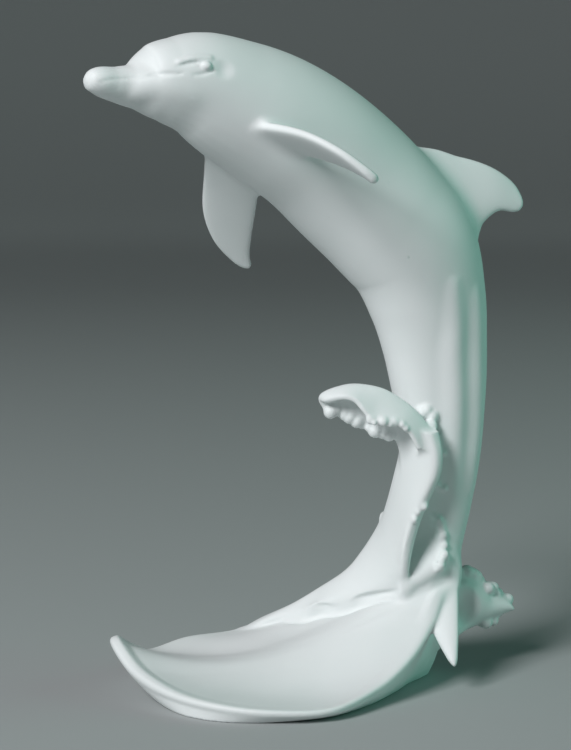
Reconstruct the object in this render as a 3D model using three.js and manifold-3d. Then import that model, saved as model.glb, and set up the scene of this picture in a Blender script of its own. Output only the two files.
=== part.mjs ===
// Leaping dolphin on a breaking wave: a one-piece figurine of white, unglazed (biscuit) porcelain.
// Millimetres, +Z up. The dolphin leaps towards -X, and the open trough of the wave faces -X and -Y.
// The origin is on the ground, under the middle of the figure.
import * as THREE from 'three';
import { LoftGeometry } from 'three/addons/geometries/LoftGeometry.js';
import { mergeVertices } from 'three/addons/utils/BufferGeometryUtils.js';
import Module from 'manifold-3d';

const wasm = await Module();
wasm.setup();

// Driving dimensions.
const sideYaw = 27; // degrees that the dolphin's left side is turned from -Y towards +X
const eyeRadius = 2.2;
const eyeSink = 0.9;
const mouthWidth = 1.1;
const flipperLength = 44;
const flipperThickness = 5;
const finThickness = 6;
const flukeThickness = 5;
const rimThickness = 4.8;
const dishMiddle = new THREE.Vector3(5, -8, 0);
const swellPeak = new THREE.Vector3(46.5, 1.5, 42); // where the water closes on the tail
const swellReach = { left: 112, right: 40, front: 50, back: 70 }; // how far the swell runs out
const frontSwellPower = 2.6; // the swell falls faster towards the front
const leftSwellPower = 2.1;
const backSwellPower = 1.65;
const troughHeight = 3.5;
const lipPower = 2.4; // how soon the rim's height is lost inside the dish
const sheetThickness = 4;
const skirtThickness = 3.4;
const webThickness = 6.2;
const rampThickness = 6;
const crestThickness = 3.6;
const splashThickness = 6;

// Facets of the lofts.
const bodySteps = 34;
const bodySides = 22;
const jawSteps = 14;
const jawSides = 16;
const bladeSteps = 12;
const bladeSides = 10;
const baseSides = 42;
const beadSides = 7;
const beadRings = 4;
const ballSides = 10;
const ballRings = 6;

// Spine of the body from the front of the melon to the root of the flukes:
// place on the centre line, half depth from back to belly, half width, and roll in degrees.
const bodyStations = [
  { at: [-55.4, -40, 201], deep: 3, wide: 3.5, roll: 16 },
  { at: [-53.4, -39, 201.5], deep: 7, wide: 7.5, roll: 16 },
  { at: [-49.6, -37, 201.8], deep: 10.5, wide: 11, roll: 16 },
  { at: [-43.6, -34.5, 202.3], deep: 12.9, wide: 14, roll: 16 },
  { at: [-33.5, -29, 201.2], deep: 16.4, wide: 16.5, roll: 16 },
  { at: [-21.9, -21, 195.6], deep: 19.9, wide: 19.5, roll: 16 },
  { at: [-9.9, -13, 189], deep: 22.1, wide: 21.5, roll: 16 },
  { at: [2.8, -5, 180.4], deep: 23, wide: 22.5, roll: 13 },
  { at: [14.9, 2, 169.4], deep: 24, wide: 22.5, roll: 9 },
  { at: [26.3, 6, 157.7], deep: 23.8, wide: 21.5, roll: 5 },
  { at: [35.9, 9, 145.4], deep: 23, wide: 20, roll: 2 },
  { at: [41.2, 11, 129.8], deep: 20.7, wide: 17.5, roll: 0 },
  { at: [44, 12, 114.4], deep: 18.6, wide: 15, roll: 0 },
  { at: [45.9, 12, 96.7], deep: 16.6, wide: 12.5, roll: 0 },
  { at: [47.7, 11, 78], deep: 13, wide: 9.5, roll: 0 },
  { at: [48.1, 10, 61], deep: 9.5, wide: 7, roll: 0 },
  { at: [47.5, 9, 44.5], deep: 6.2, wide: 5.2, roll: 0 },
  { at: [47.8, 8, 33], deep: 4, wide: 6, roll: 0 },
];

// Beak and lower jaw, from the tip back into the throat.
const jawStations = [
  { at: [-68.1, -49, 202.1], deep: 1, wide: 1.2, roll: 16 },
  { at: [-66.9, -48.4, 202], deep: 3, wide: 3.4, roll: 16 },
  { at: [-64, -47, 201.8], deep: 4.4, wide: 5, roll: 16 },
  { at: [-60.1, -44, 201], deep: 5.2, wide: 6, roll: 16 },
  { at: [-55.7, -41, 200.4], deep: 6.1, wide: 7.8, roll: 16 },
  { at: [-48.7, -38, 198.9], deep: 6.3, wide: 11, roll: 16 },
  { at: [-41, -34, 196.3], deep: 6.8, wide: 13, roll: 16 },
  { at: [-33.5, -30, 193], deep: 7.5, wide: 12, roll: 16 },
  { at: [-25, -23, 189], deep: 8, wide: 10, roll: 16 },
];

const vectors = (points) => points.map((p) => new THREE.Vector3(...p));
const curve = (points, closed = false) => (
  new THREE.CatmullRomCurve3(vectors(points), closed, 'catmullrom', 0.5)
);
const { lerp, smoothstep, degToRad } = THREE.MathUtils;

// The animal's left, before it is squared to its spine.
const leftHint = new THREE.Vector3(Math.sin(degToRad(sideYaw)), -Math.cos(degToRad(sideYaw)), 0);

// A point on the skin of a round-bodied loft: t runs along the spine, the angle in degrees from the
// back (0) over the animal's left (90) to the belly (180).
function skinPoint(stations, t, angle) {
  const spine = curve(stations.map((s) => s.at));
  const girth = curve(stations.map((s) => [s.deep, s.wide, s.roll]));
  const { x: deep, y: wide, z: roll } = girth.getPoint(t);
  const forward = spine.getTangent(t).negate();
  const upright = new THREE.Vector3().crossVectors(forward, leftHint).normalize();
  const level = new THREE.Vector3().crossVectors(upright, forward);
  const dorsal = upright.clone().applyAxisAngle(forward, degToRad(roll));
  const left = level.clone().applyAxisAngle(forward, degToRad(roll));
  return spine.getPoint(t)
    .addScaledVector(dorsal, deep * Math.cos(degToRad(angle)))
    .addScaledVector(left, wide * Math.sin(degToRad(angle)));
}

function bodyGeometry(stations, steps, sides) {
  const sections = Array.from({ length: steps + 1 }, (_, i) => (
    Array.from({ length: sides }, (_, j) => skinPoint(stations, i / steps, (j / sides) * 360))
  ));
  return new LoftGeometry(sections, { capStart: true, capEnd: true });
}

// A blade laid over two or more lines, from root to tip: each section runs from the first line to the
// last. Blunt below 1 squares off its edges, camber bows it out to one side, and past roundFrom it closes
// to a rounded tip.
function bladeGeometry({
  lines, thickness, blunt = 1, camber = 0, roundFrom = 1, steps = bladeSteps, sides = bladeSides,
}) {
  const sections = [];
  for (let i = 0; i <= steps; i++) {
    const t = i / steps;
    const past = Math.max(0, t - roundFrom) / Math.max(1 - roundFrom, 0.01);
    const close = Math.sqrt(1 - (0.96 * past) ** 2);
    const row = curve(lines.map((line) => line.getPoint(t).toArray()));
    const run = lines.reduce((sum, line) => sum.add(line.getTangent(t)), new THREE.Vector3());
    const section = [];
    for (let j = 0; j < sides; j++) {
      const angle = (j / sides) * 2 * Math.PI;
      const along = (1 - close * Math.cos(angle)) / 2;
      const face = new THREE.Vector3().crossVectors(row.getTangent(along), run).normalize();
      const swing = Math.sign(Math.sin(angle)) * Math.abs(Math.sin(angle)) ** blunt;
      const lift = swing * close * thickness(t) / 2 + camber * 4 * along * (1 - along);
      section.push(row.getPoint(along).addScaledVector(face, lift));
    }
    sections.push(section);
  }
  return new LoftGeometry(sections, { capStart: true, capEnd: true });
}

// A ball stretched to three radii.
function ball(at, radii) {
  return new THREE.SphereGeometry(1, ballSides, ballRings).scale(...radii).translate(...at);
}

// A closed geometry as a solid that faces out.
function solid(geometry) {
  const bare = new THREE.BufferGeometry();
  bare.setAttribute('position', geometry.attributes.position);
  bare.setIndex(geometry.index);
  const merged = mergeVertices(bare, 1e-4);
  const make = (triVerts) => new wasm.Manifold(new wasm.Mesh({
    numProp: 3,
    vertProperties: new Float32Array(merged.attributes.position.array),
    triVerts: new Uint32Array(triVerts),
  }));
  const made = make(merged.index.array);
  return made.volume() > 0 ? made : make(Array.from(merged.index.array).reverse());
}

const join = (first, ...others) => others.reduce((sum, piece) => sum.add(piece), first);

// Head and body, with an eye and the corner of the mouth on each side.
function dolphinBody() {
  const trunk = join(
    solid(bodyGeometry(bodyStations, bodySteps, bodySides)),
    solid(bodyGeometry(jawStations, jawSteps, jawSides)),
  );
  return [1, -1].reduce((head, side) => {
    const eyeMiddle = skinPoint(bodyStations, 0.21, side * 89);
    const eye = ball(eyeMiddle.lerp(skinPoint(bodyStations, 0.21, side * 269), eyeSink / 33), [
      eyeRadius * 1.3, eyeRadius, eyeRadius,
    ]);
    const mouthLine = new THREE.CatmullRomCurve3([
      skinPoint(jawStations, 0.21, side * 114.5),
      skinPoint(jawStations, 0.29, side * 98),
      skinPoint(jawStations, 0.436, side * 87.5),
      skinPoint(jawStations, 0.55, side * 84.5),
      skinPoint(bodyStations, 0.098, side * 96),
      skinPoint(bodyStations, 0.148, side * 97.5),
      skinPoint(bodyStations, 0.178, side * 99.5),
    ]);
    const groove = new THREE.Shape().absarc(0, 0, mouthWidth / 2, 0, 2 * Math.PI);
    const cut = new THREE.ExtrudeGeometry(groove, { extrudePath: mouthLine, steps: 14, curveSegments: 3 });
    return head.subtract(solid(cut)).add(solid(eye));
  }, trunk);
}

// Fin on the back.
const dorsalFin = bladeGeometry({
  lines: [
    curve([[24, 6, 163], [38, 13, 179], [52, 19, 177], [63, 23, 173.5], [71, 26, 168], [75, 27, 161.5]]),
    curve([[38, 12, 138], [55.5, 18, 148], [61, 20, 155], [66, 22, 158.5], [71, 24.5, 158], [74, 26, 158.5]]),
  ],
  thickness: (t) => finThickness * (1 - 0.72 * t),
});

// Flipper planform along its span and chord, from the root inside the body to the tip.
const flipperLead = [[-8, -7], [6, -9], [20, -10.5], [32, -8], [41, -2.5], [45, 2]];
const flipperTrail = [[-8, 9], [6, 9], [18, 7.5], [30, 5], [39, 3.5], [44, 4]];

function flipperGeometry({ root, span, chord, droop }) {
  const reach = new THREE.Vector3(...span).normalize();
  const breadth = new THREE.Vector3(...chord).normalize();
  const face = new THREE.Vector3().crossVectors(reach, breadth).normalize();
  const place = ([s, c]) => new THREE.Vector3(...root)
    .addScaledVector(reach, s)
    .addScaledVector(breadth, c)
    .addScaledVector(face, droop * (s / flipperLength) ** 2)
    .toArray();
  return bladeGeometry({
    lines: [curve(flipperLead.map(place)), curve(flipperTrail.map(place))],
    thickness: (t) => flipperThickness * (1 - 0.4 * t),
    blunt: 0.7,
  });
}
const flippers = [
  { root: [-14, -29.5, 183.6], span: [34, -21, -4], chord: [0.3, 0.72, -0.62], droop: -9 },
  { root: [-24.5, -13, 178], span: [3, 24, -40], chord: [0.95, 0.1, 0.1], droop: 0 },
].map(flipperGeometry);

// Fluke lobes: the left one hangs over the rim of the dish, the right one dips into the swell.
const flukes = [
  { lead: [[51.5, -6, 23], [50.5, -16, 9.5]], trail: [[43, -7, 19], [48.5, -15.5, 9.5]] },
  { lead: [[40, 22, 25], [30, 24, 10]], trail: [[36, 18, 18], [29, 23, 10]] },
].map(({ lead, trail }) => bladeGeometry({
  lines: [
    curve([[48, 10, 46], [51.5, 6, 38], ...lead]),
    curve([[42, 8, 38], [40, 2, 30], ...trail]),
  ],
  thickness: (t) => flukeThickness * (1 - 0.5 * t),
}));

// Base of the wave: foot, flared outer wall, thick rim and a swell that rises to the tail.
const rimPoints = [
  [-65, -10, 18], [-57, -24, 11.2], [-44, -39, 7.3], [-28, -50.5, 5.9], [-10, -54, 4.9], [9, -50, 4.8],
  [24, -34, 8], [35, -20.5, 14.3], [41.8, -10, 21.8], [46.5, -3, 31.5], [51.5, 6, 33], [48, 18, 33],
  [34, 26, 32], [16, 29, 27], [-4, 32, 18.5], [-24, 33, 11], [-42, 31, 8.6], [-55, 20, 6.8], [-62.5, 5, 13],
];
const footPoints = [
  [-48, -16, 0], [-46, -30, 0], [-38, -43, 0], [-26, -49.5, 0], [-10, -49.5, 0], [7, -43, 0],
  [20, -30, 0], [29.5, -14, 0], [35, -2, 0], [40, 6, 0], [42.5, 13, 0], [38, 20, 0], [28, 24, 0],
  [14, 27, 0], [-4, 28, 0], [-22, 26, 0], [-36, 22, 0], [-44, 13, 0], [-48, 0, 0],
];

function swellHeight(x, y) {
  const along = x - swellPeak.x;
  const across = y - swellPeak.y;
  const share = Math.hypot(
    along / (along < 0 ? swellReach.left : swellReach.right),
    across / (across < 0 ? swellReach.front : swellReach.back),
  );
  const aim = across / Math.max(Math.hypot(along, across), 0.01); // -1 to the front, 1 to the back
  const nearPower = lerp(frontSwellPower, leftSwellPower, smoothstep(aim, -0.8, -0.1));
  const power = lerp(nearPower, backSwellPower, smoothstep(aim, 0.03, 0.33));
  return troughHeight + (swellPeak.z - troughHeight) * (1 - Math.min(share, 1)) ** power;
}

function baseGeometry() {
  const rim = curve(rimPoints, true);
  const foot = curve(footPoints, true);
  const ring = (place) => Array.from({ length: baseSides }, (_, k) => (
    place(rim.getPoint(k / baseSides), foot.getPoint(k / baseSides))
  ));
  const inward = (edge) => dishMiddle.clone().sub(edge).setZ(0).normalize();
  const onRim = (edge, inset, drop) => edge.clone()
    .addScaledVector(inward(edge), inset * rimThickness)
    .add(new THREE.Vector3(0, 0, -drop * rimThickness));
  const sections = [ring((edge, sole) => sole)];
  for (const w of [0.35, 0.7, 1]) {
    sections.push(ring((edge, sole) => {
      const under = onRim(edge, 0.2, 0.8);
      return new THREE.Vector3(lerp(sole.x, under.x, w), lerp(sole.y, under.y, w), under.z * w ** 1.3);
    }));
  }
  for (const [inset, drop] of [[0, 0.3], [0.15, 0.04], [0.6, 0]]) {
    sections.push(ring((edge) => onRim(edge, inset, drop)));
  }
  for (const share of [0.97, 0.89, 0.79, 0.66, 0.51, 0.36, 0.23, 0.12, 0.04]) {
    sections.push(ring((edge) => {
      const reach = Math.hypot(dishMiddle.x - edge.x, dishMiddle.y - edge.y);
      const w = share * (1 - rimThickness / reach);
      const x = lerp(dishMiddle.x, edge.x, w);
      const y = lerp(dishMiddle.y, edge.y, w);
      const lip = (edge.z - swellHeight(edge.x, edge.y)) * w ** lipPower;
      return new THREE.Vector3(x, y, swellHeight(x, y) + lip);
    }));
  }
  return new LoftGeometry(sections, { capStart: true, capEnd: true });
}

// Sheet of water that climbs from the far rim, in front of the tail, to the crest. Its lower edge lies on
// the swell as a scalloped ledge, and its upper right edge is free.
const sheetEdge = [
  [-24, 31.5, 9], [-14.8, 30, 15.3], [-1.5, 22, 22.5], [8.9, 18, 29], [15.7, 16.5, 35.3], [20.8, 15.5, 41.5],
  [25.9, 14, 51.5], [29.5, 11.5, 60.7], [32, 7.5, 72], [33, 4.5, 81], [32, 2, 89],
];
const ledge = [
  [-10.2, 25, 14.7], [-4.9, 20, 16.2], [-0.8, 16, 18.2], [1.2, 14, 21.1], [2.9, 12.5, 23.9], [7, 11, 24.6],
  [11.4, 9, 24], [15.8, 6.5, 25.3], [17.8, 5, 28.4], [23.1, 2.5, 30.4], [30.4, -1.5, 32.6], [33.6, -3, 35],
];
const freeEdge = [
  [33.5, -7, 42], [34, -8.2, 48], [37, -8.5, 57], [41, -9.5, 66], [44, -10, 73], [44.5, -10, 80],
  [43, -9, 87],
];
const waterSheet = bladeGeometry({
  lines: [curve(sheetEdge), curve([[-22, 31, 9.5], [-14.8, 29, 13.7], ...ledge, ...freeEdge])],
  thickness: (t) => sheetThickness * (1 + 0.9 * t),
  blunt: 0.7,
  steps: 36,
  sides: 8,
});

// Skirts that carry the sheet down into the swell, below the ledge and behind its left edge.
const moved = (points, shift) => curve(points.map((p) => p.map((v, axis) => v + shift[axis])));
const backEdge = sheetEdge.slice(2, 7);
const skirts = [
  { lines: [moved(ledge, [0.5, 1.6, -1]), moved(ledge, [1.5, 6, -10])], steps: 16 },
  { lines: [moved(backEdge, [0, 0.6, -1.2]), moved(backEdge, [2, 4, -14])], steps: 6 },
].map((skirt) => bladeGeometry({ ...skirt, thickness: () => skirtThickness, sides: 6 }));

// Web of water behind the sheet, which ties it to the tail, and the ramp in the valley before it.
const tailWeb = bladeGeometry({
  lines: [
    curve([[20, 14, 24], [27, 6.5, 42], [31.5, 3, 55], [36, 0, 70], [38, -1, 80]]),
    curve([[46, 8, 24], [46.5, 9, 42], [47, 9.5, 55], [47, 10, 70], [47, 11, 80]]),
  ],
  thickness: () => webThickness,
  steps: 6,
});
const valleyRamp = bladeGeometry({
  lines: [
    curve([[33, -3, 32], [37, -3, 34.5], [41.5, -2.5, 37], [45.5, -1.5, 39.5], [47.5, -0.5, 43]]),
    curve([[35, 6, 44], [38.5, 7, 47], [42, 7, 49], [45, 7, 50], [47.5, 7, 52]]),
  ],
  thickness: () => rampThickness,
  steps: 6,
});

// Crest that curls over the trough: a hood over its rear edge, crown and front lip, hollow underneath.
const crest = bladeGeometry({
  lines: [
    curve([
      [33.2, 0, 73.4], [30.8, -1, 81.7], [28.4, -2, 85.2], [25, -3, 86.1], [21.6, -3.5, 86.8],
      [18.9, -4, 88.6], [15.3, -4.5, 90.5], [11.9, -5, 92.7], [7.6, -6, 94.2], [4.6, -7, 95.2],
    ]),
    curve([
      [44, -3, 77.7], [40.9, -4, 85.6], [36.2, -4.5, 92], [31.5, -5, 96.1], [26.1, -5.5, 99.4],
      [21.1, -6, 100.8], [15.8, -6.5, 101.2], [11.8, -7, 100.6], [7.5, -7.5, 99.3], [4.6, -8, 97.4],
    ]),
    curve([
      [37.2, -11, 81.8], [34.1, -12, 87.3], [30.1, -13, 90.4], [25.8, -14, 90.9], [21.8, -14.5, 91.6],
      [18.9, -14.5, 94.9], [16.3, -14, 98.1], [12.7, -13.5, 99.1], [8.6, -12, 98], [5.8, -9.8, 96.4],
    ]),
  ],
  thickness: (t) => crestThickness * (1 - 0.5 * t ** 4),
  blunt: 0.7,
  roundFrom: 0.9,
  steps: 16,
  sides: 12,
});

// Second splash behind the tail.
const backSplash = bladeGeometry({
  lines: [
    curve([
      [42, 6, 30], [52.2, 16, 33.6], [55.8, 18.5, 34], [59.9, 21, 32], [62.9, 23, 27.5], [66.2, 25, 26.2],
      [69.5, 27, 24.4], [71.5, 28.3, 20.8],
    ]),
    curve([
      [42, 6, 10], [48, 7.5, 11.2], [53.7, 15, 13.5], [60.4, 21, 15.3], [66.7, 25.5, 16.9], [71.2, 28.3, 19],
    ]),
  ],
  thickness: (t) => splashThickness * (1 - 0.25 * t),
  camber: 3,
});

// Froth: beads of spray strung along a line, of uneven but repeatable sizes.
function frothBeads({ line, count, small, large, scatter, seed }) {
  const uneven = (i) => {
    const wave = Math.sin(12.9898 * (i + seed)) * 43758.5453;
    return wave - Math.floor(wave);
  };
  return Array.from({ length: count }, (_, i) => {
    const radius = lerp(small, large, uneven(3 * i));
    const shift = new THREE.Vector3(uneven(3 * i + 1), uneven(3 * i + 2), uneven(5 * i + 4)).subScalar(0.5);
    const middle = curve(line).getPoint((i + 0.5) / count).addScaledVector(shift, 2 * scatter);
    return new THREE.SphereGeometry(radius, beadSides, beadRings).translate(...middle.toArray());
  });
}
const lipFroth = {
  line: [[11, -5.5, 93.2], [18.9, -4.5, 88.9], [26, -4, 86.4]],
  count: 4, small: 1.5, large: 2.1, scatter: 0.4, seed: 1,
};
const topFroth = {
  line: [[39, -3, 94], [41.5, -1.6, 92], [42, -3.5, 88.5]],
  count: 3, small: 2, large: 2.6, scatter: 0.4, seed: 2,
};
const splashFroth = {
  line: [[51, 15.5, 33], [58, 20, 32.5], [64, 23.5, 26], [69, 27, 23], [66, 25, 19]],
  count: 8, small: 1.9, large: 2.8, scatter: 0.8, seed: 4,
};
const tailFroth = {
  line: [[44.4, 3, 56.5], [46.3, 1.5, 53], [47.8, -0.6, 50], [48.2, -1.8, 47.5], [47.2, -3, 44]],
  count: 5, small: 1.3, large: 2, scatter: 0.4, seed: 8,
};

const blades = [
  dorsalFin, ...flippers, ...flukes, waterSheet, ...skirts, tailWeb, valleyRamp, crest, backSplash,
];
const froth = [lipFroth, topFroth, splashFroth, tailFroth].flatMap(frothBeads);
const whole = join(dolphinBody(), ...[baseGeometry(), ...blades, ...froth].map(solid));

// The finished solid as a geometry, moved over the origin.
function geometryOf(manifold) {
  const mesh = manifold.getMesh();
  const geometry = new THREE.BufferGeometry();
  geometry.setAttribute('position', new THREE.BufferAttribute(new Float32Array(mesh.vertProperties), 3));
  geometry.setIndex(new THREE.BufferAttribute(new Uint32Array(mesh.triVerts), 1));
  geometry.computeBoundingBox();
  const middle = geometry.boundingBox.getCenter(new THREE.Vector3());
  geometry.translate(-middle.x, -middle.y, -geometry.boundingBox.min.z);
  geometry.computeVertexNormals();
  return geometry;
}

const biscuitPorcelain = new THREE.MeshStandardMaterial({ color: 0xe9eeec, roughness: 0.6, metalness: 0 });
const dolphinOnWave = new THREE.Mesh(geometryOf(whole), biscuitPorcelain);
dolphinOnWave.name = 'dolphin_on_wave';

const figurine = new THREE.Group();
figurine.add(dolphinOnWave);

export default figurine;
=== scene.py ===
# A dolphin leaping from a breaking wave, one casting of white biscuit porcelain.
# Lengths are millimetres until the finished clay is handed over in metres.
import math

import bmesh
import bpy
import numpy as np
import openvdb
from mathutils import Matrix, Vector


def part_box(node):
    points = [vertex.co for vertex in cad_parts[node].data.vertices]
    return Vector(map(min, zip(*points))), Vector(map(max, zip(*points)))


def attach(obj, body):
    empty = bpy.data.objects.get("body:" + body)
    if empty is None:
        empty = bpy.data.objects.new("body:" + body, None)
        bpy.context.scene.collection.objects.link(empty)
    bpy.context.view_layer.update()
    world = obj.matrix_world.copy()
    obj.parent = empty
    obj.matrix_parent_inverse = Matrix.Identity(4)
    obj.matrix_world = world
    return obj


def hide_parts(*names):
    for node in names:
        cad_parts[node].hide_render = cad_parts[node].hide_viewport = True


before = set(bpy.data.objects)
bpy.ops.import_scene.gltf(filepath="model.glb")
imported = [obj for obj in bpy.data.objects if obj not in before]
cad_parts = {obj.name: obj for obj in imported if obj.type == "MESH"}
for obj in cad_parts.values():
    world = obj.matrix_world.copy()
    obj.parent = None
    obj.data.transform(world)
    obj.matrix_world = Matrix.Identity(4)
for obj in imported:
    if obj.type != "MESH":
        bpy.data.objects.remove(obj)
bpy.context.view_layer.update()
print("frame loaded")

figure = {
    "node": "dolphin_on_wave",
    "lowCorner": (-68.66, -56.72, 0.0),  # lowest corner of the forms as they are drawn below
}
shift = np.array(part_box(figure["node"])[0]) * 1000 - np.array(figure["lowCorner"])

clay = {
    "grain": 0.5,  # edge of the little cubes that the clay is worked in
    "quickGrain": 0.9,
    "reach": 9.0,  # how far from a surface the clay still feels it
    "settleTurns": 5, "leastSlope": 0.2,  # tries to bring a point on to the clay
    "low": (-82.0, -68.0, -12.0),
    "high": (88.0, 48.0, 230.0),
    "triangles": 190000,
}


# points, curves and closed skins

def unit(v):
    return v / np.linalg.norm(v, axis=-1, keepdims=True)


def follow(points, t, closed=False):  # place and heading on a smooth line through the points
    points = np.asarray(points, float)
    t = np.atleast_1d(np.asarray(t, float))
    if closed:
        padded = np.vstack([points[-1:], points, points[:2]])
        spans = len(points)
        spot = (t % 1.0) * spans
    else:
        padded = np.vstack([2 * points[:1] - points[1:2], points, 2 * points[-1:] - points[-2:-1]])
        spans = len(points) - 1
        spot = np.clip(t, 0, 1) * spans
    k = np.minimum(spot.astype(int), spans - 1)
    u = (spot - k)[:, None]
    a, b, c, d = (padded[k + step] for step in range(4))
    bend = 2 * a - 5 * b + 4 * c - d
    twist = 3 * (b - c) + d - a
    place = b + 0.5 * u * ((c - a) + u * (bend + u * twist))
    heading = 0.5 * ((c - a) + u * (2 * bend + 3 * u * twist))
    return place, heading


def anglesRound(sides):
    return np.arange(sides) / sides * 2 * math.pi


def bands(count, sides):  # quads between each ring and the next
    j = np.arange(sides)
    k = (j + 1) % sides
    row = np.arange(count - 1)[:, None] * sides
    return np.stack([row + j, row + k, row + sides + k, row + sides + j], -1).reshape(-1, 4)


def loft(rings):  # closed skin over a row of rings, as points, triangles and quads
    count, sides = rings.shape[:2]
    middles = np.stack([rings[0].mean(0), rings[-1].mean(0)])
    points = np.vstack([rings.reshape(-1, 3), middles])
    j = np.arange(sides)
    k = (j + 1) % sides
    last = (count - 1) * sides
    firstCap = np.stack([np.full(sides, count * sides), k, j], -1)
    lastCap = np.stack([np.full(sides, count * sides + 1), last + j, last + k], -1)
    return points, np.vstack([firstCap, lastCap]), bands(count, sides)


def sheet(lines, thick, tip, blunt=1.0, camber=0.0, roundFrom=0.93, steps=110, sides=64, relax=0):
    # laid over two or more lines, as thick at the root and at the tip as these say; blunt below 1 squares its
    # edges, camber bows it out, and past roundFrom it closes to a rounded tip
    t = np.sin(np.linspace(0, 1, steps + 1) * math.pi / 2)
    rows = np.stack([follow(line, t)[0] for line in lines], 1)
    past = np.clip((t - roundFrom) / (1 - roundFrom), 0, 0.995) if roundFrom < 1 else 0 * t
    close = np.sqrt(1 - past ** 2)[:, None]
    around = anglesRound(sides)
    share = 0.5 - 0.5 * np.cos(around)[None] * close
    laid = [follow(row, across) for row, across in zip(rows, share)]
    place = np.stack([spot for spot, heading in laid])
    chord = np.stack([heading for spot, heading in laid])
    for turn in range(relax):  # fairs the middle of the sheet and leaves its edges where they are
        bend = place[:-2] - 2 * place[1:-1] + place[2:]
        place[1:-1] += bend * (share * (1 - share))[1:-1, :, None]
    face = unit(np.cross(chord, np.gradient(place, axis=0)))
    swing = np.sin(around)[None]
    lift = np.sign(swing) * np.abs(swing) ** blunt * (thick + (tip - thick) * t)[:, None] * close / 2
    return loft(place + face * (lift + camber * 4 * share * (1 - share))[..., None])


def tube(points, radii, steps=70, sides=18, endShare=0.06, slant=(0.31, 0.52, 0.79)):
    # round cord through the points, rounded off at both ends; slant is a direction that it doesn't run in
    t = np.linspace(0, 1, steps + 1)
    middle, heading = follow(points, t)
    radius = follow(np.asarray(radii, float)[:, None], t)[0][:, 0]
    ends = np.clip(np.minimum(t, 1 - t) / endShare, 0.02, 1)
    radius = radius * np.sqrt(1 - (1 - ends) ** 2)
    side = unit(np.cross(heading, np.array(slant)))
    other = np.cross(unit(heading), side)
    around = anglesRound(sides)
    spokes = side[:, None] * np.cos(around)[None, :, None] + other[:, None] * np.sin(around)[None, :, None]
    return loft(middle[:, None] + spokes * radius[:, None, None])


def ball(at, radii, rings=20, sides=28, cap=0.02):
    up = np.linspace(cap, 1 - cap, rings) * math.pi
    around = anglesRound(sides)
    x = np.sin(up)[:, None] * np.cos(around)[None]
    y = np.sin(up)[:, None] * np.sin(around)[None]
    z = np.repeat(np.cos(up)[:, None], sides, 1)
    return loft(np.stack([x, y, z], -1) * np.asarray(radii) + np.asarray(at))


# clay: one block of signed distances that forms are added to and cut from

grain = clay["grain"]
origin = np.floor(np.array(clay["low"]) / grain).astype(int)
blockSize = np.ceil(np.array(clay["high"]) / grain).astype(int) - origin
block = np.full(blockSize, clay["reach"], np.float32)


def press(skinMesh):  # distances from a closed skin, and the place in the block that they fill
    points, triangles, quads = skinMesh
    grid = openvdb.FloatGrid.createLevelSetFromPolygons(
        points.astype(np.float32),
        triangles=triangles.astype(np.uint32),
        quads=quads.astype(np.uint32),
        transform=openvdb.createLinearTransform(voxelSize=grain),
        halfWidth=clay["reach"] / grain,
    )
    low = np.floor((points.min(0) - clay["reach"]) / grain).astype(int)
    high = np.ceil((points.max(0) + clay["reach"]) / grain).astype(int)
    low = np.maximum(low, origin)
    high = np.minimum(high, origin + blockSize)
    room = np.empty(high - low, np.float32)
    grid.copyToArray(room, ijk=tuple(int(v) for v in low))
    return tuple(slice(a, b) for a, b in zip(low - origin, high - origin)), room


def soften(here, room, fillet):  # the nearer of two distances, rounded where they meet
    mix = np.clip(0.5 + 0.5 * (here - room) / fillet, 0, 1)
    return here + (room - here) * mix - fillet * mix * (1 - mix)


def add(skinMesh, fillet):
    place, room = press(skinMesh)
    block[place] = soften(block[place], room, fillet)


def cut(skinMesh, fillet):
    place, room = press(skinMesh)
    block[place] = -soften(-block[place], room, fillet)


def feel(points):  # distance to the clay at each point
    spot = points / grain - origin
    cell = np.floor(spot).astype(int)
    part = spot - cell
    found = 0.0
    for corner in np.ndindex(2, 2, 2):
        share = np.prod(np.where(np.array(corner) == 1, part, 1 - part), -1)
        found = found + share * block[tuple((cell + corner).T)]
    return found


def settle(points):  # the points, moved on to the surface of the clay
    points = np.array(points, float)
    for turn in range(clay["settleTurns"]):
        rise = [feel(points + step) - feel(points - step) for step in np.eye(3) * grain]
        slope = np.stack(rise, -1) / (2 * grain)
        steep = np.maximum((slope ** 2).sum(-1), clay["leastSlope"])
        points = points - slope * (feel(points) / steep)[:, None]
    return points


# dolphin: a body from melon to tail, and a beak and jaw laid into it

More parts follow.
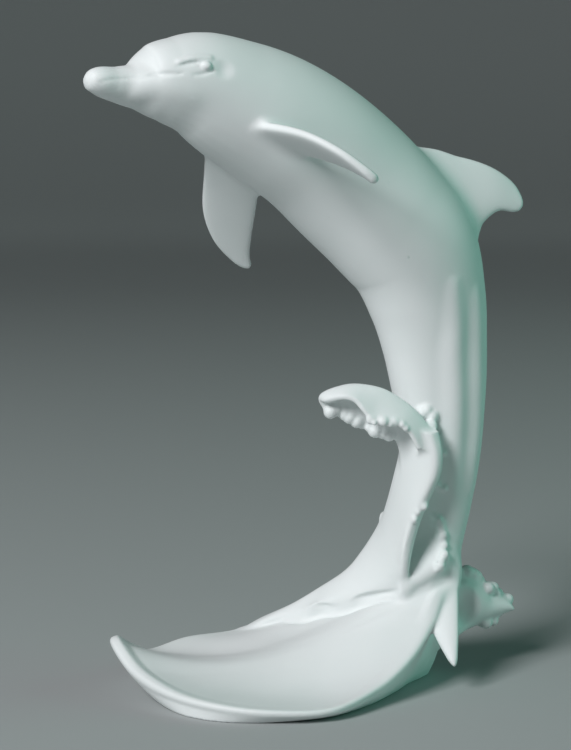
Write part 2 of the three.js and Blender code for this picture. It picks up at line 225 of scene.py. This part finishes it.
dolphin = {
    "sideYaw": 27.0,  # degrees that its left side is turned from the front towards +X
    "body": [  # place on the spine, half depth, half width, roll in degrees
        (-55.4, -40, 201, 3, 3.5, 16), (-53.4, -39, 201.5, 7, 7.5, 16), (-49.6, -37, 201.8, 10.5, 11, 16),
        (-43.6, -34.5, 202.3, 12.9, 14, 16), (-33.5, -29, 201.2, 16.4, 16.5, 16),
        (-21.9, -21, 195.6, 19.9, 19.5, 16), (-9.9, -13, 189, 22.1, 21.5, 16),
        (2.8, -5, 180.4, 23, 22.5, 13), (14.9, 2, 169.4, 24, 22.5, 9), (26.3, 6, 157.7, 23.8, 21.5, 5),
        (35.9, 9, 145.4, 23, 20, 2), (41.2, 11, 129.8, 20.7, 17.5, 0), (44, 12, 114.4, 18.6, 15, 0),
        (45.9, 12, 96.7, 16.6, 12.5, 0), (47.7, 11, 78, 13, 9.5, 0), (48.1, 10, 61, 9.5, 7, 0),
        (47.5, 9, 44.5, 6.2, 5.2, 0), (47.8, 8, 33, 4, 6, 0),
    ],
    "jaw": [
        (-68.1, -49, 202.1, 1, 1.2, 16), (-66.9, -48.4, 202, 3, 3.4, 16), (-64, -47, 201.8, 4.4, 5, 16),
        (-60.1, -44, 201, 5.2, 6, 16), (-55.7, -41, 200.4, 6.1, 7.8, 16), (-48.7, -38, 198.9, 6.3, 11, 16),
        (-41, -34, 196.3, 6.6, 13, 16), (-33.5, -30, 193.5, 5, 12, 16),
    ],
    "bodySteps": 260, "jawSteps": 120, "sides": 120,
    "bodyFillet": 0.01, "jawFillet": 1.8,
    "throat": [
        (-47, -37.5, 196.6), (-39.5, -33.5, 195.2), (-31, -28, 192.2), (-21, -20, 188), (-10, -12, 183),
    ],
    "throatRadii": (2.0, 5.5, 9.0, 11.0, 12.0), "throatFillet": 7.0,
}


def skin(part, t, angle):  # angle in degrees from the back, over the animal's left, to the belly
    rows = np.array(dolphin[part], float)
    middle, heading = follow(rows[:, :3], t)
    deep, wide, roll = follow(rows[:, 3:], t)[0].T
    forward = -unit(heading)
    yaw = math.radians(dolphin["sideYaw"])
    upright = unit(np.cross(forward, np.array([math.sin(yaw), -math.cos(yaw), 0.0])))
    level = np.cross(upright, forward)
    turn = np.radians(roll)[:, None]
    dorsal = upright * np.cos(turn) + np.cross(forward, upright) * np.sin(turn)
    left = level * np.cos(turn) + np.cross(forward, level) * np.sin(turn)
    around = np.radians(np.atleast_1d(angle))[None, :, None]
    return (middle[:, None] + dorsal[:, None] * deep[:, None, None] * np.cos(around)
            + left[:, None] * wide[:, None, None] * np.sin(around))


def onSkin(*spots):  # points on the skin, each given as part, place along it and angle
    return np.array([skin(part, t, angle)[0, 0] for part, t, angle in spots])


allRound = np.arange(dolphin["sides"]) * (360 / dolphin["sides"])
for part in ("body", "jaw"):
    along = np.linspace(0, 1, dolphin[part + "Steps"])
    add(loft(skin(part, along, allRound)), dolphin[part + "Fillet"])
add(tube(dolphin["throat"], dolphin["throatRadii"]), dolphin["throatFillet"])
print("clay: body and beak")

fin = {
    "lead": [(24, 6, 163), (38, 13, 179), (52, 19, 177), (63, 23, 173.5), (71, 26, 168), (75, 27, 161.5)],
    "trail": [
        (38, 12, 138), (55.5, 18, 148), (61, 20, 155), (66, 22, 158.5), (71, 24.5, 158), (74, 26, 158.5),
    ],
    "thick": 6.0, "tip": 2.6, "blunt": 0.8, "fillet": 6.0,
}
add(sheet([fin["lead"], fin["trail"]], fin["thick"], fin["tip"], fin["blunt"]), fin["fillet"])

flippers = {
    "length": 44.0, "thick": 4.6, "tip": 3.0, "blunt": 0.55, "fillet": 2.6,
    "lead": [(-8, -7), (6, -9), (20, -10.5), (32, -8), (41, -2.5), (45, 2)],  # along and across
    "trail": [(-8, 9), (6, 9), (18, 7.5), (30, 5), (39, 3.5), (44, 4)],
    "sides": [  # root, direction out, direction across, droop at the tip
        ((-14, -29.5, 185.0), (34, -21, -4), (0.3, 0.85, -0.42), -9.0),
        ((-24.5, -13, 178), (3, 24, -40), (0.95, 0.1, 0.1), 0.0),
    ],
}
for root, out, across, droop in flippers["sides"]:
    out = unit(np.array(out, float))
    across = unit(np.array(across, float))
    down = unit(np.cross(out, across))
    edges = []
    for edge in (flippers["lead"], flippers["trail"]):
        edges.append([
            np.array(root) + out * s + across * c + down * droop * (s / flippers["length"]) ** 2
            for s, c in edge
        ])
    add(sheet(edges, flippers["thick"], flippers["tip"], flippers["blunt"]), flippers["fillet"])

flank = {  # two low folds down the tail stock, sunk into it towards its spine
    "ridges": [
        [
            (46.5, -2, 136), (48.3, -0.6, 122), (48.9, -0.5, 113), (49.8, 1.8, 97), (49.9, 3.0, 83),
            (49.4, 4.2, 66),
        ],
        [(57.5, 2.5, 132), (57.5, 4.5, 118), (57.2, 6.6, 103), (57.2, 8.4, 86), (55.5, 9, 66)],
    ],
    "spine": (46, 12, 0), "sink": 1.9, "radii": (0.4, 1.8, 2.4, 2.5, 1.9, 0.4), "fillet": 5.0, "spots": 24,
}
for ridge in flank["ridges"]:
    line = settle(follow(ridge, np.linspace(0, 1, flank["spots"]))[0])
    inwards = (np.array(flank["spine"], float) - line) * (1, 1, 0)
    add(tube(line + unit(inwards) * flank["sink"], flank["radii"]), flank["fillet"])
print("clay: fin, flippers and flank")

flukes = {
    "lead": [(48, 10, 46), (51.5, 6, 38)], "trail": [(42, 8, 38), (40, 2, 30)],
    "lobes": [
        ([(51.5, -6, 23), (50.5, -16, 9.5)], [(43, -7, 19), (48.5, -15.5, 9.5)]),
        ([(40, 22, 25), (30, 24, 10)], [(36, 18, 18), (29, 23, 10)]),
    ],
    "thick": 5.0, "tip": 3.0, "blunt": 0.8, "fillet": 4.0,
}
for lead, trail in flukes["lobes"]:
    lobe = [flukes["lead"] + lead, flukes["trail"] + trail]
    add(sheet(lobe, flukes["thick"], flukes["tip"], flukes["blunt"]), flukes["fillet"])

face = {
    "eye": ("body", 0.21, 89), "eyeRadii": (1.9, 1.6, 1.5), "eyeSink": 0.35, "eyeFillet": 0.4,
    "dip": ("body", 0.2265, 90.5), "dipRadius": 4.0, "dipDepth": 0.25, "dipFillet": 1.6,  # behind the eye
    "browSpots": 12, "grooveSpots": 24,
    # brow and grooves: spots on the skin, radii along them, softness of their edges
    "brow": ([("body", 0.17, 82.5), ("body", 0.192, 79), ("body", 0.216, 79)], (0.2, 0.45, 0.25), 2.0),
    "grooves": {
        "mouth": ([
            ("jaw", 0.24, 114.5), ("jaw", 0.33, 98), ("jaw", 0.498, 87.5), ("jaw", 0.63, 84.5),
            ("body", 0.098, 96), ("body", 0.148, 97.5), ("body", 0.174, 99.5),
        ], (0.05, 0.1, 0.12, 0.18, 0.4, 0.5, 0.25), 0.8),
        "lidFold": (
            [("body", 0.166, 88.5), ("body", 0.184, 86), ("body", 0.199, 84.5)], (0.15, 0.45, 0.35), 0.7,
        ),
        "underFold": (
            [("body", 0.19, 101), ("body", 0.206, 99), ("body", 0.22, 93.5)], (0.15, 0.35, 0.2), 0.7,
        ),
    },
}


def onFace(side, spots, count=1):  # points on the clay, at or between spots on one side of the head
    line = onSkin(*[(part, t, side * angle) for part, t, angle in spots])
    return settle(follow(line, np.linspace(0, 1, count))[0] if count > 1 else line)


part, place, angle = face["eye"]
insideHead = onSkin((part, place, 0), (part, place, 180)).mean(0)
for side in (1, -1):
    spots, radii, fillet = face["brow"]
    add(tube(onFace(side, spots, face["browSpots"]), radii), fillet)
    dipAt = onFace(side, [face["dip"]])[0]
    dipLift = unit(dipAt - insideHead) * (face["dipRadius"] - face["dipDepth"])
    cut(ball(dipAt + dipLift, [face["dipRadius"]] * 3), face["dipFillet"])
    for spots, radii, fillet in face["grooves"].values():
        cut(tube(onFace(side, spots, face["grooveSpots"]), radii), fillet)
    eyeAt = onFace(side, [face["eye"]])[0]
    add(ball(eyeAt + unit(insideHead - eyeAt) * face["eyeSink"], face["eyeRadii"]), face["eyeFillet"])
print("clay: face")

# wave: dish with foot and rolled rim, swell up to the tail, ribbon of water, crest and back splash

dish = {
    "rim": [
        (-65, -10, 18), (-57, -24, 11.2), (-44, -39, 7.3), (-28, -50.5, 5.9), (-10, -54, 4.9), (9, -50, 4.8),
        (24, -34, 8), (35, -20.5, 14.3), (41.8, -10, 21.8), (46.5, -3, 31.5), (51.5, 6, 33), (48, 18, 33),
        (34, 26, 32), (16, 29, 27), (-4, 32, 18.5), (-24, 33, 11), (-42, 31, 8.6), (-55, 20, 6.8),
        (-62.5, 5, 13),
    ],
    "foot": [
        (-48, -16, 0), (-46, -30, 0), (-38, -43, 0), (-26, -49.5, 0), (-10, -49.5, 0), (7, -43, 0),
        (20, -30, 0), (29.5, -14, 0), (35, -2, 0), (40, 6, 0), (42.5, 13, 0), (38, 20, 0), (28, 24, 0),
        (14, 27, 0), (-4, 28, 0), (-22, 26, 0), (-36, 22, 0), (-44, 13, 0), (-48, 0, 0),
    ],
    "middle": (5.0, -8.0), "lip": 2.4,  # a greater lip loses the rim's height sooner inside the dish
    "rimThick": 4.8, "rimRise": 0.55,  # thickness, and the share of the rim's height that it stays under
    "wallFlare": 1.3, "wallRows": (0.25, 0.5, 0.75, 1.0),
    # top of the wall and round of the rim: shares of its thickness, in from its edge and down from its top
    "wallTop": (0.2, 0.8),
    "rimRound": ((0.04, 0.52), (0.0, 0.3), (0.08, 0.1), (0.28, 0.0), (0.62, -0.02)),
    "bowlRows": (  # from the rim to the middle
        0.97, 0.93, 0.89, 0.84, 0.79, 0.73, 0.66, 0.59, 0.51, 0.43, 0.36, 0.29, 0.23, 0.17, 0.12, 0.04,
    ),
    "peak": (46.5, 1.5, 42.0), "trough": 3.5,  # the swell falls from the peak on the tail to the trough
    "reach": ((112.0, 50.0), (40.0, 70.0)),  # left and front, right and back
    "frontSwell": 2.6, "leftSwell": 2.1, "backSwell": 1.65,  # how fast it falls, greater is faster
    "frontToLeft": (-0.8, -0.1), "leftToBack": (0.03, 0.33),  # headings between which that changes
    "columns": 420, "rows": 160, "fillet": 2.5,
}


def ease(value, low, high):
    x = np.clip((value - low) / (high - low), 0, 1)
    return x * x * (3 - 2 * x)


def swellHeight(flat):  # height of the water at places in plan
    way = flat - np.array(dish["peak"][:2])
    share = np.clip(np.hypot(*(way / np.where(way < 0, *dish["reach"])).T), 0, 1)
    heading = way[:, 1] / np.maximum(np.hypot(*way.T), 0.01)  # -1 to the front, 1 to the back
    front, left, back = dish["frontSwell"], dish["leftSwell"], dish["backSwell"]
    power = front + (left - front) * ease(heading, *dish["frontToLeft"])
    power += (back - power) * ease(heading, *dish["leftToBack"])
    return dish["trough"] + (dish["peak"][2] - dish["trough"]) * (1 - share) ** power


def dishSkin():  # rings from the foot up the wall, round the rim and down to the middle of the dish
    t = np.arange(dish["columns"]) / dish["columns"]
    edge = follow(dish["rim"], t, closed=True)[0]
    sole = follow(dish["foot"], t, closed=True)[0]
    middle = np.array(dish["middle"])
    away = np.hypot(*(middle - edge[:, :2]).T)
    inward = np.column_stack([(middle - edge[:, :2]) / away[:, None], 0 * away])
    roll = np.minimum(dish["rimThick"], dish["rimRise"] * edge[:, 2])[:, None]  # thinner where the rim is low

    def onRim(inset, drop):
        return edge + (inward * inset - np.array([0, 0, drop])) * roll

    under = onRim(*dish["wallTop"])
    rings = [sole]
    for w in dish["wallRows"]:
        ring = sole + (under - sole) * w
        ring[:, 2] = under[:, 2] * w ** dish["wallFlare"]
        rings.append(ring)
    for inset, drop in dish["rimRound"]:
        rings.append(onRim(inset, drop))
    lift = edge[:, 2] - swellHeight(edge[:, :2])
    for share in dish["bowlRows"]:
        w = share * (1 - dish["rimThick"] / away)
        flat = middle + (edge[:, :2] - middle) * w[:, None]
        rings.append(np.column_stack([flat, swellHeight(flat) + lift * w ** dish["lip"]]))
    rows = np.array(rings).reshape(len(rings), -1)
    return loft(follow(rows, np.linspace(0, 1, dish["rows"]))[0].reshape(dish["rows"], -1, 3))


add(dishSkin(), dish["fillet"])
print("clay: dish and swell")

water = {
    "web": {
        "lines": [
            [(20, 14, 24), (27, 6.5, 42), (31.5, 3, 55), (36, 0, 70), (38, -1, 80)],
            [(46, 8, 24), (46.5, 9, 42), (47, 9.5, 55), (47, 10, 70), (47, 11, 80)],
        ],
        "thick": 5.0, "tip": 5.0,
    },
    "ribbon": {  # left edge up to the crest; scalloped ledge on the swell, then the right edge
        "lines": [
            [
                (-24, 31.5, 9), (-14.8, 30, 15.3), (-1.5, 22, 22.5), (8.9, 18, 29), (15.7, 16.5, 35.3),
                (20.8, 15.5, 41.5), (25.9, 14, 51.5), (29.5, 11.5, 60.7), (32, 7.5, 72), (33, 4.5, 81),
                (32, 2, 89),
            ],
            [
                (-22, 31, 9.5), (-14.8, 29, 13.7), (-10.2, 25, 14.7), (-4.9, 20, 16.2), (-0.8, 16, 18.2),
                (1.2, 14, 21.1), (2.9, 12.5, 23.9), (7, 11, 24.6), (11.4, 9, 24), (15.8, 6.5, 25.3),
                (17.8, 5, 28.4), (23.1, 2.5, 30.4), (30.4, -1.5, 32.6), (33.6, -3, 35), (33.5, -7, 42),
                (34, -8.2, 48), (37, -8.5, 57), (41, -9.5, 66), (44, -10, 73), (44.5, -10, 80), (43, -9, 87),
            ],
        ],
        "thick": 3.8, "tip": 7.5, "blunt": 0.6, "roundFrom": 1.0, "steps": 200, "relax": 500,
    },
    "crest": {  # a hood: rear edge, crown and front lip
        "lines": [
            [
                (33.2, 0, 73.4), (30.8, -1, 81.7), (28.4, -2, 85.2), (25, -3, 86.1), (21.6, -3.5, 86.8),
                (18.9, -4, 88.6), (15.3, -4.5, 90.5), (11.9, -5, 92.7), (7.6, -6, 94.2), (4.6, -7, 95.2),
            ],
            [
                (44, -3, 77.7), (40.9, -4, 85.6), (36.2, -4.5, 92), (31.5, -5, 96.1), (26.1, -5.5, 99.4),
                (21.1, -6, 100.8), (15.8, -6.5, 101.2), (11.8, -7, 100.6), (7.5, -7.5, 99.3), (4.6, -8, 97.4),
            ],
            [
                (37.2, -11, 81.8), (34.1, -12, 87.3), (30.1, -13, 90.4), (25.8, -14, 90.9),
                (21.8, -14.5, 91.6), (18.9, -14.5, 94.9), (16.3, -14, 98.1), (12.7, -13.5, 99.1),
                (8.6, -12, 98), (5.8, -9.8, 96.4),
            ],
        ],
        "thick": 3.4, "tip": 3.2, "blunt": 0.6,
    },
    "ramp": {  # floor of the valley between ribbon and tail
        "lines": [
            [(33, -3, 32), (37, -3, 34.5), (41.5, -2.5, 37), (45.5, -1.5, 39.5), (47.5, -0.5, 43)],
            [(35, 6, 44), (38.5, 7, 47), (42, 7, 49), (45, 7, 50), (47.5, 7, 52)],
        ],
        "thick": 6.0, "tip": 6.0,
    },
    "splash": {
        "lines": [
            [
                (42, 6, 30), (52.2, 16, 33.6), (55.8, 18.5, 34), (59.9, 21, 32), (62.9, 23, 27.5),
                (66.2, 25, 26.2), (69.5, 27, 24.4), (71.5, 28.3, 20.8),
            ],
            [
                (42, 6, 10), (48, 7.5, 11.2), (53.7, 15, 13.5), (60.4, 21, 15.3), (66.7, 25.5, 16.9),
                (71.2, 28.3, 19),
            ],
        ],
        "thick": 6.0, "tip": 4.5, "camber": 3.0,
    },
}
waterFillets = {"ramp": 6.0, "web": 4.5, "ribbon": 1.6, "crest": 2.0, "splash": 3.0}

leftEdge, ledge = water["ribbon"]["lines"]
skirts = {  # the ribbon's edges carried down into the swell: line, its move at the top and below, thickness
    "underLedge": (ledge[2:14], (0.5, 1.6, -1.0), (1.5, 6.0, -10.0), 3.4),
    "behindRibbon": (leftEdge[2:7], (0.0, 0.6, -1.2), (2.0, 4.0, -14.0), 4.0),
}
skirtFillet = 2.5
skirtSteps = 160
for line, near, deep, thick in skirts.values():
    line = np.array(line, float)
    add(sheet([line + near, line + deep], thick, thick, roundFrom=1.0, steps=skirtSteps), skirtFillet)

undercut = {  # groove in the swell below the ledge
    "line": ledge[3:13], "move": (0, -1.5, -3), "radii": (0.4, 1.5, 1.7, 1.7, 1.5, 0.4),
    "spots": 60, "steps": 160, "fillet": 1.5,
}
groove = np.array(undercut["line"], float) + undercut["move"]
groove = settle(follow(groove, np.linspace(0, 1, undercut["spots"]))[0])
cut(tube(groove, undercut["radii"], undercut["steps"]), undercut["fillet"])

for name, fillet in waterFillets.items():
    add(sheet(**water[name]), fillet)
splashHollow = {"at": (57, 7.6, 24), "radii": (6.5, 6.0, 8.5), "fillet": 2.5}
cut(ball(splashHollow["at"], splashHollow["radii"]), splashHollow["fillet"])
print("clay: ribbon, crest and splash")


# one small function for every node tree

def node(tree, kind, links=None, **settings):
    made = tree.nodes.new(kind)
    for name, value in settings.items():
        setattr(made, name, value)
    for socket, value in (links or {}).items():
        if isinstance(value, bpy.types.NodeSocket):
            tree.links.new(value, made.inputs[socket])
        else:
            made.inputs[socket].default_value = value
    return made


def linear(hexCode):  # sRGB hex to linear colour
    parts = [int(hexCode[i:i + 2], 16) / 255 for i in (1, 3, 5)]
    return [c / 12.92 if c <= 0.04045 else ((c + 0.055) / 1.055) ** 2.4 for c in parts] + [1.0]


# biscuit porcelain: fired without glaze, so it is matte, faintly translucent, cool white and finely pitted
porcelain = {
    "white": "#edf0f0", "shade": "#dfe5e4",
    "cloudSize": 38.0,  # soft cloudiness of the fired body
    "pitSize": 0.9, "pitDepth": 0.12, "pitStrength": 0.12,  # real pits are near 0.1 mm, drawn larger to show
    "ior": 1.5, "roughness": 0.58, "roughnessSpread": 0.05,
    "glow": 0.08, "glowDepth": 1.2, "glowTint": (1.0, 0.95, 0.9),
}


def biscuitPorcelain():
    material = bpy.data.materials.new("biscuitPorcelain")
    material.use_nodes = True
    tree = material.node_tree
    tree.nodes.clear()
    place = node(tree, "ShaderNodeTexCoord").outputs["Object"]
    clouds = node(tree, "ShaderNodeTexNoise", {
        "Vector": place, "Scale": 1000 / porcelain["cloudSize"], "Detail": 3.0, "Roughness": 0.55,
    })
    tint = node(tree, "ShaderNodeMix", {
        0: clouds.outputs["Fac"], 6: linear(porcelain["shade"]), 7: linear(porcelain["white"]),
    }, data_type="RGBA")
    pits = node(tree, "ShaderNodeTexNoise", {
        "Vector": place, "Scale": 1000 / porcelain["pitSize"], "Detail": 2.0, "Roughness": 0.6,
    })
    rough = node(tree, "ShaderNodeMapRange", {
        "Value": clouds.outputs["Fac"],
        "To Min": porcelain["roughness"] - porcelain["roughnessSpread"],
        "To Max": porcelain["roughness"] + porcelain["roughnessSpread"],
    })
    bump = node(tree, "ShaderNodeBump", {
        "Height": pits.outputs["Fac"], "Strength": porcelain["pitStrength"],
        "Distance": porcelain["pitDepth"] / 1000,
    })
    body = node(tree, "ShaderNodeBsdfPrincipled", {
        "Base Color": tint.outputs[2], "Roughness": rough.outputs["Result"], "Normal": bump.outputs["Normal"],
        "IOR": porcelain["ior"], "Subsurface Weight": porcelain["glow"],
        "Subsurface Radius": porcelain["glowTint"], "Subsurface Scale": porcelain["glowDepth"] / 1000,
    })
    node(tree, "ShaderNodeOutputMaterial", {"Surface": body.outputs["BSDF"]})
    return material


biscuit = biscuitPorcelain()

# froth: beads of spray strung along a line, uneven in size and place
froth = {  # line, then count, smallest, largest, scatter and seed
    "rearLip": ([
        (8, -6.5, 93.4), (12, -5.5, 92), (15.3, -5, 89.8), (18.9, -4.5, 87.8), (21.6, -4.5, 86),
        (25, -4.5, 85.4), (28.4, -4, 84.5),
    ], 10, 0.9, 2.5, 0.9, 3),
    "frontLip": ([
        (20.5, -15, 91.5), (23.5, -15.2, 90.8), (27, -14.8, 90), (30.5, -14, 89.6), (33.5, -13.2, 88),
    ], 7, 0.7, 1.6, 0.6, 4),
    "tailTop": ([(39, -3, 94), (41.5, -1.6, 92), (42.4, -1.6, 90.5), (42, -3.5, 88)], 7, 1.4, 2.4, 0.5, 5),
    "tailBeads": ([(44.3, 0, 84), (45.2, 0.1, 81.4), (46, 0.6, 79)], 4, 0.7, 1.1, 0.2, 6),
    "tailMiddle": ([(44.2, 1.6, 68), (45.4, 1.4, 66.8), (46.6, 1.2, 66)], 4, 0.9, 1.4, 0.3, 7),
    "tailLow": ([
        (44.4, 3, 56.5), (46.3, 1.5, 53), (47.8, -0.6, 50), (48.4, -1.8, 47.5), (47.4, -3, 44),
        (45.5, -3.8, 40.5),
    ], 16, 0.8, 1.8, 0.6, 8),
    "ribbonEdge": ([(36.3, -9.2, 57.8), (38, -9.2, 60), (39.8, -9.2, 62)], 3, 0.8, 1.2, 0.3, 9),
    "ribbonDrop": ([(26.5, 14, 55), (26.7, 14, 55.5)], 2, 1.2, 1.5, 0.2, 10),
    "splashTop": ([
        (50, 14.5, 35), (54, 17.5, 36), (58, 20, 34.5), (61.5, 22.5, 30.5), (64, 24, 28),
    ], 9, 1.6, 2.8, 0.6, 11),
    "splashCluster": ([
        (62, 20, 27), (66, 23, 27), (70, 26.5, 24.5), (70, 27, 20), (66, 23.5, 18), (62, 19.5, 18),
        (63, 20, 22.5), (67, 23.5, 22.5),
    ], 26, 1.1, 2.3, 0.8, 12),
}
frothFillet = 1.4
frothSpots = 40  # points that each line is settled on the clay with


def frothTree():
    tree = bpy.data.node_groups.new("frothBeads", "GeometryNodeTree")
    for name, kind in (
        ("Line", "Geometry"), ("Beads", "Int"), ("Smallest", "Float"), ("Largest", "Float"),
        ("Scatter", "Float"), ("Seed", "Int"), ("Finish", "Material"),
    ):
        tree.interface.new_socket(name, in_out="INPUT", socket_type="NodeSocket" + kind)
    tree.interface.new_socket("Froth", in_out="OUTPUT", socket_type="NodeSocketGeometry")
    given = node(tree, "NodeGroupInput").outputs
    spots = node(tree, "GeometryNodeCurveToPoints", {
        "Curve": given["Line"], "Count": given["Beads"],
    }, mode="COUNT")
    back = node(tree, "ShaderNodeMath", {0: given["Scatter"], 1: -1.0}, operation="MULTIPLY")
    drift = node(tree, "FunctionNodeRandomValue", {
        0: back.outputs[0], 1: given["Scatter"], "Seed": given["Seed"],
    }, data_type="FLOAT_VECTOR")
    moved = node(tree, "GeometryNodeSetPosition", {
        "Geometry": spots.outputs["Points"], "Offset": drift.outputs[0],
    })
    size = node(tree, "FunctionNodeRandomValue", {
        2: given["Smallest"], 3: given["Largest"], "Seed": given["Seed"],
    }, data_type="FLOAT")
    bead = node(tree, "GeometryNodeMeshIcoSphere", {"Radius": 1.0, "Subdivisions": 3})
    strung = node(tree, "GeometryNodeInstanceOnPoints", {
        "Points": moved.outputs["Geometry"], "Instance": bead.outputs["Mesh"], "Scale": size.outputs[1],
    })
    whole = node(tree, "GeometryNodeRealizeInstances", {"Geometry": strung.outputs["Instances"]})
    fired = node(tree, "GeometryNodeSetMaterial", {
        "Geometry": whole.outputs["Geometry"], "Material": given["Finish"],
    })
    node(tree, "NodeGroupOutput", {"Froth": fired.outputs["Geometry"]})
    return tree


def frothSkin(tree, line, settings):
    curve = bpy.data.curves.new("frothLine", "CURVE")
    curve.dimensions = "3D"
    spots = settle(follow(line, np.linspace(0, 1, frothSpots))[0])
    spline = curve.splines.new("POLY")
    spline.points.add(len(spots) - 1)
    for point, spot in zip(spline.points, spots):
        point.co = (*spot, 1.0)
    holder = bpy.data.objects.new("frothLine", curve)
    bpy.context.collection.objects.link(holder)
    beads = holder.modifiers.new("froth", "NODES")
    beads.node_group = tree
    sockets = {s.name: s.identifier for s in tree.interface.items_tree if s.in_out == "INPUT"}
    for name, value in zip(("Beads", "Smallest", "Largest", "Scatter", "Seed"), settings):
        beads[sockets[name]] = value
    beads[sockets["Finish"]] = biscuit
    made = bpy.data.meshes.new_from_object(holder.evaluated_get(bpy.context.evaluated_depsgraph_get()))
    points = np.empty(len(made.vertices) * 3, np.float32)
    made.vertices.foreach_get("co", points)
    made.calc_loop_triangles()
    triangles = np.empty(len(made.loop_triangles) * 3, np.int32)
    made.loop_triangles.foreach_get("vertices", triangles)
    holder.modifiers.remove(beads)
    bpy.data.objects.remove(holder)
    bpy.data.curves.remove(curve)
    bpy.data.meshes.remove(made)
    return points.reshape(-1, 3), triangles.reshape(-1, 3), np.empty((0, 4))


spray = frothTree()
for line, *settings in froth.values():
    add(frothSkin(spray, line, settings), frothFillet)
print("clay: froth")


# the block of clay becomes one skin, thinned to its triangle count

def dropPockets(mesh):  # deletes the sealed pockets between the forms, and keeps the outer skin
    form = bmesh.new()
    form.from_mesh(mesh)
    waiting = set(form.verts)
    skins = []
    while waiting:
        reached = [waiting.pop()]
        for vert in reached:
            near = {edge.other_vert(vert) for edge in vert.link_edges} & waiting
            waiting -= near
            reached.extend(near)
        skins.append(reached)
    for pocket in sorted(skins, key=len)[:-1]:
        bmesh.ops.delete(form, geom=pocket, context="VERTS")
    form.to_mesh(mesh)
    form.free()


def firedFigure():
    grid = openvdb.FloatGrid(clay["reach"])
    grid.transform = openvdb.createLinearTransform(voxelSize=grain)
    grid.copyFromArray(block, ijk=tuple(int(v) for v in origin))
    points, quads = grid.convertToQuads(isovalue=0.0)
    points = np.clip((np.asarray(points, float) + shift) / 1000, *np.array(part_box(figure["node"])))
    raw = bpy.data.meshes.new("rawClay")
    raw.from_pydata(points.tolist(), [], np.asarray(quads).tolist())
    raw.update()
    holder = bpy.data.objects.new("rawClay", raw)
    bpy.context.collection.objects.link(holder)
    thin = holder.modifiers.new("thin", "DECIMATE")
    thin.ratio = min(1.0, clay["triangles"] / (2 * len(quads)))
    thin.use_collapse_triangulate = True
    mesh = bpy.data.meshes.new_from_object(holder.evaluated_get(bpy.context.evaluated_depsgraph_get()))
    bpy.data.objects.remove(holder)
    bpy.data.meshes.remove(raw)
    dropPockets(mesh)
    mesh.name = "dolphinOnWave"
    mesh.shade_smooth()
    mesh.materials.clear()
    mesh.materials.append(biscuit)
    piece = bpy.data.objects.new("dolphinOnWave", mesh)
    bpy.context.collection.objects.link(piece)
    return piece


dolphinOnWave = firedFigure()
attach(dolphinOnWave, "root")
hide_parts(figure["node"])
print("fired:", len(dolphinOnWave.data.polygons), "triangles")

# studio: pale paper bowl, a soft light from the upper left and a weak green-tinted fill from the right
studio = {
    "paper": "#a6aaaa", "paperRoughness": 0.9,
    "bowl": [  # radius and height in metres
        (0.0, 0.0), (1.7, 0.0), (2.2, 0.06), (2.6, 0.25), (2.9, 0.6), (3.05, 1.1), (3.1, 1.8),
    ],
    "bowlRings": 60, "bowlSides": 96,
    "sky": "#e2e6ea", "skyStrength": 0.06,
    "lights": {  # place and aim in metres, size, watts, colour
        "key": ((-1.0, -1.32, 1.23), (0.0, 0.0, 0.11), 0.7, 37.0, "#fcfdff"),
        "fill": ((1.5, 0.1, 0.5), (0.0, 0.0, 0.1), 1.0, 8.0, "#78d9c0"),
    },
}


def paperBowl():
    material = bpy.data.materials.new("mattePaper")
    material.use_nodes = True
    surface = material.node_tree.nodes["Principled BSDF"].inputs
    surface["Base Color"].default_value = linear(studio["paper"])
    surface["Roughness"].default_value = studio["paperRoughness"]
    count, sides = studio["bowlRings"], studio["bowlSides"]
    profile = follow(studio["bowl"], np.linspace(0, 1, count))[0]
    around = anglesRound(sides)
    rings = np.stack([
        profile[:, :1] * np.cos(around)[None], profile[:, :1] * np.sin(around)[None],
        np.repeat(np.maximum(profile[:, 1:], 0.0), sides, 1),
    ], -1)
    mesh = bpy.data.meshes.new("paperBowl")
    mesh.from_pydata(rings.reshape(-1, 3).tolist(), [], bands(count, sides).tolist())
    mesh.shade_smooth()
    mesh.materials.append(material)
    bowl = bpy.data.objects.new("paperBowl", mesh)
    bpy.context.collection.objects.link(bowl)
    return bowl


paperBowl()


def aim(thing, place, target):
    thing.location = place
    direction = np.array(target) - np.array(place)
    flat = math.hypot(direction[0], direction[1])
    thing.rotation_euler = (math.atan2(flat, -direction[2]), 0.0, math.atan2(-direction[0], direction[1]))


for name, (place, target, size, watts, colour) in studio["lights"].items():
    lamp = bpy.data.lights.new(name, "AREA")
    lamp.size = size
    lamp.energy = watts
    lamp.color = linear(colour)[:3]
    holder = bpy.data.objects.new(name, lamp)
    bpy.context.collection.objects.link(holder)
    aim(holder, place, target)

world = bpy.data.worlds.new("studio")
world.use_nodes = True
sky = world.node_tree.nodes["Background"].inputs
sky["Color"].default_value = linear(studio["sky"])
sky["Strength"].default_value = studio["skyStrength"]
bpy.context.scene.world = world
bpy.context.scene.view_settings.view_transform = "Standard"

# camera: straight in front of the figure and a little above it
camera = {
    "look": (-9.73, 11.77, 105.0), "distance": 750.0, "elevation": 7.0, "lens": 108.0, "sensorWidth": 36.0,
}
lensData = bpy.data.cameras.new("camera")
lensData.lens = camera["lens"]
lensData.sensor_width = camera["sensorWidth"]
eyePoint = bpy.data.objects.new("camera", lensData)
bpy.context.collection.objects.link(eyePoint)
look = np.array(camera["look"]) / 1000
rise = math.radians(camera["elevation"])
back = np.array([0.0, -math.cos(rise), math.sin(rise)]) * camera["distance"] / 1000
aim(eyePoint, look + back, look)
bpy.context.scene.camera = eyePoint
print("studio ready")
